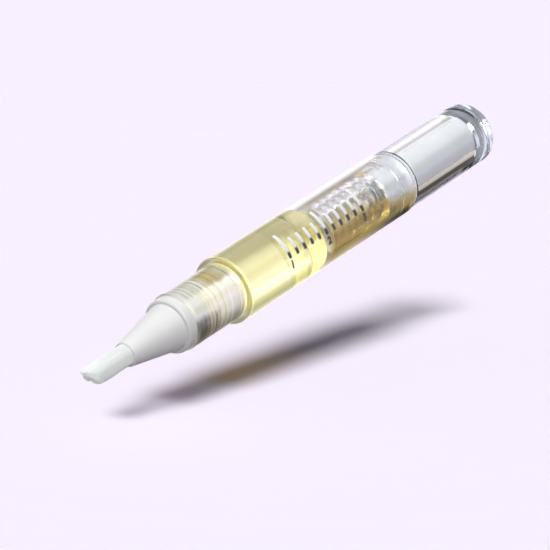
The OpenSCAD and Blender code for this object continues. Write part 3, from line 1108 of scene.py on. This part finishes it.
@dataclass
class BrushCone:
    """The white cone: rim, cone, flange and the ribbed spigot that shows through the neck."""

    pen: Pen
    feed_r: float = 0.62
    well: float = -13.7
    socket: float = -22.3
    socket_r: float = 1.82
    socket_bevel: tuple[float, float] = (0.06, 0.1)
    rim: float = -25.5
    rim_outer_r: float = 2.2
    rim_round: float = 0.3
    base_r: float = 4.1
    flange: float = -14.7
    flange_r: float = 4.8
    flange_round: float = 0.5
    edge: float = 0.12
    spigot_r: float = 4.08
    core_r: float = 3.53
    bore_r: float = 2.63
    collar_end: float = -9.1
    nose: float = 0.36
    rib_round: float = 0.12
    stripe: float = 0.95
    stripe_blur: float = 0.4
    ribs: tuple[Stretch, ...] = (
        (-8.7, -8.35), (-8.0, -7.6), (-7.25, -6.5), (-5.98, -5.1), (-4.5, -3.3), (-3.08, -0.95),
        (-0.7, 0.1),
    )
    # The oil's tint with painted shade in the grooves between the ribs.
    groove_colour: Colour = (0.8, 0.74, 0.6)
    # Painted light (emission) in the grooves, on the collar and on the ribs, and a share of each patch's
    # colour.
    groove_light: Colour = (0.1, 0.088, 0.06)
    collar_light: Colour = (0.17, 0.175, 0.18)
    rib_light: Colour = (0.36, 0.35, 0.33)
    patch_light: float = 0.3
    collar_fade: Stretch = (-9.5, -6.5)
    # Painted light is strongest on the upper side; least_lit of it stays below.
    lit_rise: Stretch = (-2.2, 1.2)
    least_lit: float = 0.2
    # Down as the camera sees the spigot; the patches of painted shade are placed by it.
    seen_down: tuple[float, float] = (-0.539, -0.842)
    upper: Stretch = (-1.2, -2.3)
    lower: Stretch = (1.2, 2.5)

    def _painted_shade_patches(self) -> list[PaintedShadePatch]:
        """Painted shade on the spigot, tinted by the oil: grey, olive, golden, brown and nearly black.

        Returns:
            The patches, in the order in which they cover each other.
        """
        return [
            PaintedShadePatch((0.42, 0.42, 0.39), (self.upper,), waves=0.5),
            PaintedShadePatch((0.4, 0.39, 0.27), (self.upper,), ((-4.6, -3.2),)),
            PaintedShadePatch(
                (0.38, 0.31, 0.1), ((-1.3, -2.3), (-4.3, -3.6)), ((-6.6, -5.2), (-1.4, -2.8)), ragged=1.0
            ),
            PaintedShadePatch((0.2, 0.14, 0.07), (self.lower,), ((-10.8, -9.8), (-5.4, -7.4)), waves=0.55),
            PaintedShadePatch((0.03, 0.024, 0.018), (self.lower,), ((-8.8, -10.4),)),
        ]

    def _through_neck(self, board: Board, colour: Wire) -> tuple[Wire, Wire]:
        """Paints the spigot as it looks through the neck: the oil's tint and painted shade in its grooves,
        patches of painted shade over its sides, and painted light.

        Args:
            board: the material's board.
            colour: the plastic's colour so far.

        Returns:
            The wires of the colour, and of painted glow for the light the clear neck leads onto the
            spigot.
        """
        spot = Spot(board, self.pen)
        station = spot.station
        in_neck = station.step(self.pen.neck_front - 0.1, self.pen.neck_front + 0.2)
        # The oil's tint and painted shade in the grooves; painted light on the collar and ribs.
        groove = spot.radius().step(self.spigot_r - 0.1, self.core_r + 0.05)
        groove = groove * station.step(self.collar_end - 0.1, self.collar_end + 0.1)
        colour = board.mix(groove, colour, self.groove_colour)
        glow = board.mix(station.step(*self.collar_fade), self.collar_light, self.rib_light)
        glow = board.mix(groove, glow, self.groove_light)
        blur = board.noise(700.0, 3.0) - 0.5
        down = spot.side * self.seen_down[0] + spot.rise * self.seen_down[1] + blur
        turns = (station + blur * self.stripe_blur) * (2 * math.pi / self.stripe)
        wave = turns.func("SINE").step(-0.7, 0.7)
        # Patches of painted shade, placed by how the camera looks down on the spigot.
        for patch in self._painted_shade_patches():
            amount = in_neck * (1.0 - patch.waves + wave * patch.waves)
            for edge in patch.down:
                amount = amount * down.step(*edge)
            for edge in patch.along:
                amount = amount * (station + blur * patch.ragged).step(*edge)
            colour = board.mix(amount, colour, patch.shade)
            glow = board.mix(amount, glow, scaled(patch.shade, self.patch_light))
        # Painted light is strongest on the upper side.
        upper = (spot.rise - spot.side * 0.3).step(*self.lit_rise)
        painted_light = self.least_lit + (1.0 - self.least_lit) * upper
        return colour, board.mix(in_neck * painted_light, BLACK, glow)

    def _outline(self) -> Outline:
        """The cone's outline, from the feed tube's hole round the front and back to the well.

        Returns:
            Its (radius, station) points.
        """
        chamfer_r, chamfer_len = self.socket_bevel
        neck_front = self.pen.neck_front
        outline: Outline = [
            (self.feed_r, self.well), (self.feed_r, self.socket), (self.socket_r, self.socket),
            (self.socket_r, self.rim + chamfer_len), (self.socket_r + chamfer_r, self.rim),
            *rounded_edge(self.rim_outer_r, self.rim, self.rim_round),
            (self.base_r, self.flange - self.edge), (self.base_r + 0.05, self.flange),
            *rounded_edge(self.flange_r, self.flange, self.flange_round),
            (self.flange_r, neck_front - self.edge), (self.flange_r - self.edge, neck_front),
            (self.spigot_r, neck_front), (self.spigot_r, self.collar_end),
            (self.core_r + 0.2, self.collar_end + 0.1),
        ]
        r = self.rib_round
        for start, end in self.ribs:
            outline += [
                (self.core_r, start), (self.spigot_r - r, start), (self.spigot_r, start + r),
                (self.spigot_r, end - r), (self.spigot_r - r, end), (self.core_r, end),
            ]
        return outline + [(self.core_r, self.nose), (self.bore_r, self.nose), (self.bore_r, self.well)]

    def build(self) -> bpy.types.Object:
        """Turns the cone from its outline, and gives the spigot in the oil a duller skin.

        Returns:
            The cone.
        """
        finish = SatinPlastic(
            "white_cone_plastic", base=(0.77, 0.77, 0.76), shade=(0.74, 0.745, 0.74), soft=0.15,
            pass_on=(0.75, 0.74, 0.75), seen_at=self._through_neck,
        )
        spigot = replace(finish, name="white_spigot_plastic", pass_on=(0.9, 0.89, 0.89), rough=0.8)
        cone = turned(self.pen, "moulded_cone", self._outline(), finish.material())
        split_finish(cone, self.pen.x(self.pen.neck_front), spigot)
        settle(cone, Body.BARREL)
        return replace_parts(cone, "brush_cone")


@dataclass
class BrushTuft:
    """The tuft of wet nylon filaments with its oblique end."""

    pen: Pen
    count: int = 1150
    root: float = -23.6
    tuft_r: float = 1.68
    strand_r: float = 0.058
    rings: int = 9
    reach: float = 11.2
    slant: float = 1.3
    rounding: float = 0.75
    clumps: float = 0.5
    ragged: float = 1.0
    swell: float = 0.1
    taper: float = 0.03
    parting: float = 0.11
    wave_y: float = 0.22
    wave_z: float = 0.16
    wave_draw: float = 0.12
    upper: Stretch = (0.2, 0.9)
    parted: Stretch = (0.82, 1.1)
    part_y: float = -0.35
    seed: int = 11

    def build(self) -> bpy.types.Object:
        """Grows the filaments from an even spiral of roots.

        Returns:
            The tuft.
        """
        growth = Growth("brush_tuft", {
            "Count": self.count, "Radius": self.tuft_r * MM, "Strand radius": self.strand_r * MM,
            "Reach": self.reach * MM, "Slant": self.slant * MM, "Ragged": self.ragged * MM,
            "Rounding": self.rounding * MM, "Clumps": self.clumps * MM, "Seed": self.seed,
            "Material": WetNylon("wet_nylon").material(),
        })
        board = growth.board
        strands = board.node("GeometryNodeRealizeInstances", {0: self._strands(growth)})
        x, y, z = growth.position()
        out = (self.pen.x(self.root) - x) / growth["Reach"]
        late = out * out
        high = (z / growth["Radius"]).step(*self.upper)
        wave = board.noise(1400.0, 2.0, board.vector(x * self.wave_draw, y, z)) - 0.5
        swell = 1.0 + self.swell * (out * 3.0).func("SINE").most(0.0) - late * self.taper
        way = (y * PER_METRE - self.part_y).func("SIGN")
        split = way * out.step(*self.parted) * high * (self.parting * MM)
        tuft = growth.grow(growth.moved(
            strands,
            x,
            y * swell + wave * late * (self.wave_y * MM) + split,
            z * swell + wave * late * (self.wave_z * MM) + self.pen.axis_z * MM,
        ))
        settle(tuft, Body.BARREL)
        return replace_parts(tuft, "bristles")

    def _strands(self, growth: Growth) -> Wire:
        """Sets a straight filament on each root, the upper and inner ones longer.

        Args:
            growth: the tuft's tree.

        Returns:
            The filaments' instances, about an axis at height 0.
        """
        board = growth.board
        index = board.node("GeometryNodeInputIndex")
        share = (index + 0.5) / growth["Count"]
        away = growth["Radius"] * share.func("SQRT")
        turn = index * GOLDEN_ANGLE
        root = board.vector(self.pen.x(self.root), away * turn.func("COSINE"), away * turn.func("SINE"))
        points = board.node("GeometryNodePoints", {"Count": growth["Count"], "Position": root})
        line = board.node("GeometryNodeCurvePrimitiveLine", {"Start": (0, 0, 0), "End": (-1, 0, 0)})
        line = board.node("GeometryNodeResampleCurve", {"Curve": line, "Count": self.rings})
        square = {"Resolution": 4, "Radius": growth["Strand radius"]}
        profile = board.node("GeometryNodeCurvePrimitiveCircle", square)
        pair = {"Curve": line, "Profile Curve": profile, "Fill Caps": True}
        strand = board.node("GeometryNodeCurveToMesh", pair)
        _, side, height = growth.position()
        clump = board.noise(900.0, 1.0, board.vector(0.0, side, height)).step(0.42, 0.62)
        seed = {"Seed": growth["Seed"]}
        chance = board.node("FunctionNodeRandomValue", seed, "Value_001", data_type="FLOAT")
        length = growth["Reach"] + growth["Slant"] * (height / growth["Radius"])
        length = length - growth["Ragged"] * chance * chance
        length = length - growth["Rounding"] * share * share - growth["Clumps"] * clump
        return board.node("GeometryNodeInstanceOnPoints", {
            "Points": points, "Instance": strand, "Scale": board.vector(length, 1.0, 1.0),
        })


@dataclass
class FillScale:
    """A plain printed scale on the barrel: ticks and numbers."""

    pen: Pen
    first: float = 12.0
    step: float = 2.1
    count: int = 11
    long_each: int = 5
    base_turn: float = 73.0
    tick_len: float = 3.3
    long_len: float = 5.0
    tick_w: float = 0.72
    film: float = 0.012
    lift: float = 0.003
    number_h: float = 1.8
    cap_share: float = 0.72
    number_bold: float = 0.12
    number_gap: float = 0.4
    numbers: tuple[str, ...] = ("1", "2", "3")

    def build(self) -> None:
        """Builds the ticks and the numbers."""
        for piece in (self._ticks(), self._numbers()):
            face_outwards(piece)
            settle(piece, Body.BARREL)

    def _ticks(self) -> bpy.types.Object:
        """Grows the row of ticks and wraps it round the barrel.

        Returns:
            The ticks.
        """
        growth = Growth("scale_ticks", {
            "Count": self.count, "Spacing": self.step, "Tick length": self.tick_len,
            "Long tick": self.long_len, "Line width": self.tick_w, "Film": self.film,
            "Barrel radius": self.pen.barrel_r, "Material": Ink("scale_ink", self.pen).material(),
        })
        board = growth.board
        row = board.node("GeometryNodeMeshLine", {
            "Count": growth["Count"], "Offset": board.vector(growth["Spacing"], 0.0, 0.0),
        })
        bar = board.node("GeometryNodeMeshCube", {
            "Size": board.vector(growth["Line width"], 1.0, growth["Film"]), "Vertices Y": 9,
        })
        index = board.node("GeometryNodeInputIndex")
        whole = (index / float(self.long_each)).func("FRACT").under(0.1)
        short = growth["Tick length"]
        length = short + whole * (growth["Long tick"] - short)
        bars = board.node("GeometryNodeInstanceOnPoints", {
            "Points": row, "Instance": bar, "Scale": board.vector(1.0, length, 1.0),
        })
        hung = board.node("GeometryNodeTranslateInstances", {
            "Instances": bars, "Translation": board.vector(0.0, length * -0.5, 0.0), "Local Space": False,
        })
        real = board.node("GeometryNodeRealizeInstances", {0: hung})
        x, y, z = growth.position()
        turn = math.radians(self.base_turn) + y / growth["Barrel radius"]
        away = (growth["Barrel radius"] + z + self.lift) * MM
        return growth.grow(growth.moved(
            real,
            (x + (self.first + self.pen.shift)) * MM,
            -1.0 * (away * turn.func("SINE")),
            away * turn.func("COSINE") + self.pen.axis_z * MM,
        ), smooth=False)

    def _flat_number(self, word: str) -> bpy.types.Mesh:
        """Draws one number flat.

        Args:
            word: its digits.

        Returns:
            Its mesh, in millimetres.
        """
        curve = bpy.data.curves.new("number_" + word, "FONT")
        curve.body = word
        curve.size = self.number_h
        curve.align_x = "CENTER"
        curve.extrude = self.film / 2
        curve.offset = self.number_bold
        curve.resolution_u = 6
        carrier = as_object(curve.name, curve)
        graph = bpy.context.evaluated_depsgraph_get()
        flat = bpy.data.meshes.new_from_object(carrier.evaluated_get(graph))
        bpy.data.objects.remove(carrier)
        return flat

    def _numbers(self) -> bpy.types.Object:
        """Wraps the numbers round the barrel, each below its long tick.

        Returns:
            The numbers.
        """
        points: list[Vector] = []
        faces: list[tuple[int, ...]] = []
        print_r = self.pen.barrel_r + self.lift + self.film / 2
        for place, word in enumerate(self.numbers):
            flat = self._flat_number(word)
            station = self.first + self.long_each * self.step * place
            start = len(points)
            for vertex in flat.vertices:
                drop = self.number_gap + self.cap_share * self.number_h - vertex.co.y
                turn = math.radians(self.base_turn) + drop / self.pen.barrel_r
                points.append(self.pen.point(station + vertex.co.x, print_r + vertex.co.z, turn))
            faces += [tuple(start + i for i in p.vertices) for p in flat.polygons]
            bpy.data.meshes.remove(flat)
        mesh = bpy.data.meshes.new("scale_numbers")
        mesh.from_pydata(points, [], faces)
        return as_object("scale_numbers", mesh, Ink("number_ink", self.pen).material())


@dataclass(frozen=True)
class Lamp:
    """A soft lamp that shines on the pen from one direction."""

    name: str
    kind: LampKind
    towards: Way
    energy: float
    spread: float
    mirrored: bool = True
    floor: Linked = Linked.ALL_BUT
    distance: float = 0.6

    def add(self, floor: bpy.types.Object, see_through: Sequence[bpy.types.Object]) -> None:
        """Puts the lamp in the scene.

        Args:
            floor: what it leaves out, or lights alone if it is linked to nothing else.
            see_through: objects that throw no shadow from it.
        """
        light = bpy.data.lights.new(self.name, self.kind.value)
        light.energy = self.energy
        if self.kind is LampKind.SUN:
            light.angle = self.spread
        else:
            light.shape = "DISK"
            light.size = self.spread
        lamp = as_object(self.name, light)
        way = Vector(self.towards).normalized()
        lamp.location = way * self.distance
        lamp.rotation_euler = way.to_track_quat("Z", "Y").to_euler()
        lamp.visible_camera = False
        lamp.visible_transmission = False
        lamp.visible_glossy = self.mirrored
        linking = lamp.light_linking
        linking.receiver_collection = self._listed("_floor", [floor], self.floor)
        linking.blocker_collection = self._listed("_passed", see_through, Linked.ALL_BUT)

    def _listed(
        self, ending: str, objects: Sequence[bpy.types.Object], how: Linked,
    ) -> bpy.types.Collection:
        """Makes a collection that the lamp leaves out or keeps to.

        Args:
            ending: what its name adds to the lamp's.
            objects: what it holds.
            how: how the lamp is linked to them.

        Returns:
            The collection.
        """
        group = bpy.data.collections.new(self.name + ending)
        for one in objects:
            group.objects.link(one)
        for entry in group.collection_objects:
            entry.light_linking.link_state = how.value
        return group


@dataclass
class Studio:
    """Camera, lamps, world and floor."""

    pen: Pen
    backdrop: Colour = (0.939, 0.871, 1.0)
    floor_up: Vector = field(default_factory=lambda: Vector((0.2372, 0.0, 0.9714)).normalized())
    floor_middle: Vector = field(default_factory=lambda: Vector((-38.02, 0.0, -7.6)))
    floor_half: float = 0.6
    ambient: Colour = (0.055, 0.05335, 0.05775)
    focal_pixels: float = 2812.0
    frame_pixels: float = 550.0
    sensor: float = 36.0
    clip: Stretch = (0.01, 20.0)
    camera_right: Way = (0.5960, -0.7894, -0.1468)
    camera_up: Way = (0.3916, 0.1262, 0.9114)
    shoulder_seen: Way = (-0.008717, -0.002767, -0.466)
    key: Lamp = Lamp("key", LampKind.SUN, (0.136, 0.134, 0.996), 1.95, 0.4, mirrored=False)
    floor_key: Lamp = Lamp(
        "floor_key", LampKind.SUN, (-0.112, -0.36, 0.93), 2.23, 0.4, mirrored=False, floor=Linked.ONLY
    )
    front: Lamp = Lamp("front", LampKind.DISK, (-0.45, -0.64, 0.64), 2.45, 0.34)
    card_x: Stretch = (18.0, 84.0)
    card_y: Stretch = (-8.0, 30.0)
    card_z: float = -8.0
    card_fades: tuple[tuple[str, Stretch], ...] = (
        ("x", (22.0, 42.0)), ("y", (28.0, 16.0)), ("y", (-5.0, -3.5)),
    )
    surroundings: tuple[tuple[float, Colour], ...] = (
        (-1.0, (0.93, 0.87, 0.98)), (-0.75, (0.8, 0.76, 0.82)), (-0.6, (0.5, 0.45, 0.38)),
        (-0.53, (0.46, 0.405, 0.34)), (-0.45, (0.54, 0.48, 0.4)), (-0.38, (0.92, 0.87, 0.92)),
        (-0.3, (1.12, 1.06, 1.15)), (-0.1, (1.12, 1.06, 1.15)), (0.0, (1.2, 1.17, 1.25)),
        (0.04, (1.5, 1.5, 1.9)), (0.2, (1.5, 1.5, 1.9)), (0.27, (1.1, 1.08, 1.08)),
        (0.34, (0.86, 0.83, 0.8)), (0.43, (0.63, 0.6, 0.58)), (0.52, (0.46, 0.45, 0.45)),
        (0.6, (0.9, 0.9, 0.92)), (0.7, (1.1, 1.1, 1.12)), (1.0, (1.0, 1.0, 1.02)),
    )

    def build(self, clear_pieces: Sequence[bpy.types.Object], faint: Sequence[bpy.types.Object]) -> None:
        """Builds everything that isn't part of the pen.

        Args:
            clear_pieces: pieces that the pen's own lamps shine straight through.
            faint: pieces that leave no shadow on the floor.
        """
        self._camera()
        floor = self._floor()
        self.key.add(floor, clear_pieces)
        self.floor_key.add(floor, faint)
        self.front.add(floor, clear_pieces)
        self._world()
        self._card()

    def _camera(self) -> None:
        """Puts the camera where the photograph was taken from."""
        data = bpy.data.cameras.new("photo_camera")
        data.sensor_width = self.sensor
        data.lens = self.focal_pixels * self.sensor / self.frame_pixels
        data.clip_start, data.clip_end = self.clip
        camera = as_object("photo_camera", data)
        right = Vector(self.camera_right).normalized()
        up = Vector(self.camera_up)
        up = (up - right * up.dot(right)).normalized()
        back = right.cross(up)
        seen = Vector(self.shoulder_seen)
        place = self.pen.point(0.0, 0.0, 0.0) - (right * seen.x + up * seen.y + back * seen.z)
        camera.matrix_world = Matrix.Translation(place) @ Matrix((right, up, back)).transposed().to_4x4()
        bpy.context.scene.camera = camera

    def _world(self) -> None:
        """Lights the pen evenly, and shows studio surroundings to whatever shines or is clear."""
        world = bpy.data.worlds.new("studio")
        bpy.context.scene.world = world
        world.use_nodes = True
        world.node_tree.nodes.clear()
        board = Board(world.node_tree)
        ways = {0: board.node("ShaderNodeTexCoord", out="Generated"), 1: self.floor_up}
        height = board.node("ShaderNodeVectorMath", ways, "Value", operation="DOT_PRODUCT")
        stops = [(0.5 + 0.5 * level, colour) for level, colour in self.surroundings]
        glow = board.node("ShaderNodeValToRGB", {0: height * 0.5 + 0.5}, stops=stops)
        direct = board.ray("Diffuse Depth").under(0.5)
        shiny = board.ray("Is Glossy Ray").most(board.ray("Is Transmission Ray")) * direct
        colour = board.mix(shiny, self.ambient, glow)
        colour = board.mix(board.ray("Is Camera Ray"), colour, self.backdrop)
        light = board.node("ShaderNodeBackground", {"Color": colour, "Strength": 1.0})
        board.node("ShaderNodeOutputWorld", {"Surface": light})

    def _staged(self, name: str, corners: Sequence[Vector], finish: Finish) -> bpy.types.Object:
        """Lays a four-cornered sheet that isn't part of the pen.

        Args:
            name: its name.
            corners: its corners in metres, in order.
            finish: its finish.

        Returns:
            The sheet.
        """
        mesh = bpy.data.meshes.new(name)
        mesh.from_pydata(corners, [], [(0, 1, 2, 3)])
        if mesh.polygons[0].normal.dot(self.floor_up) < 0:
            mesh.flip_normals()
        sheet = as_object(name, mesh, finish.material())
        return sheet

    def _floor(self) -> bpy.types.Object:
        """Lays the pale floor.

        Returns:
            The floor.
        """
        across = Vector((0.0, 1.0, 0.0)) * self.floor_half
        along = across.cross(self.floor_up)
        middle = self.floor_middle * MM
        corners = [middle + along * a + across * b for a, b in ((-1, -1), (1, -1), (1, 1), (-1, 1))]
        return self._staged("floor", corners, PaleFloor("pale_floor", self.backdrop))

    def _card(self) -> None:
        """Hangs a dark card under the knob, which only clear and shiny pieces show."""
        (left, right), (near, far) = self.card_x, self.card_y
        flat = ((left, near), (right, near), (right, far), (left, far))
        corners = [Vector((x, y, self.card_z)) * MM for x, y in flat]
        card = self._staged("dark_card", corners, DarkCard("dark_card", self.card_fades))
        card.visible_camera = False
        card.visible_diffuse = False
        card.visible_shadow = False


def set_paths() -> None:
    """Sets how colours are shown and how far light is followed through the clear layers."""
    scene = bpy.context.scene
    scene.view_settings.view_transform = "Standard"
    paths = scene.cycles
    paths.max_bounces = paths.transmission_bounces = paths.transparent_max_bounces = MOST_LAYERS
    paths.caustics_reflective = paths.caustics_refractive = False


def main() -> None:
    """Builds the pen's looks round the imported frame."""
    logging.basicConfig(level=logging.INFO, format="%(name)s %(message)s")
    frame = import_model()
    set_paths()
    pen = Pen(tail_x=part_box("end_plug")[1].x / MM)
    LOG.info("stations start at x = %.4f mm", pen.shift)
    nodes = frame["nodes"]
    Shells(pen, nodes).dress()
    clear = [nodes[name] for name in ("barrel", "knob_shell", "end_plug", "thread_guide", "piston")]
    oil_in_neck = OilFilling(pen).build()
    clear.append(ScrewRod(pen).build())
    BrushCone(pen).build()
    tuft = BrushTuft(pen).build()
    FillScale(pen).build()
    Studio(pen).build(clear, [tuft, oil_in_neck, nodes["feed_tube"], nodes["end_plug"]])


if __name__ == "__main__":
    main()
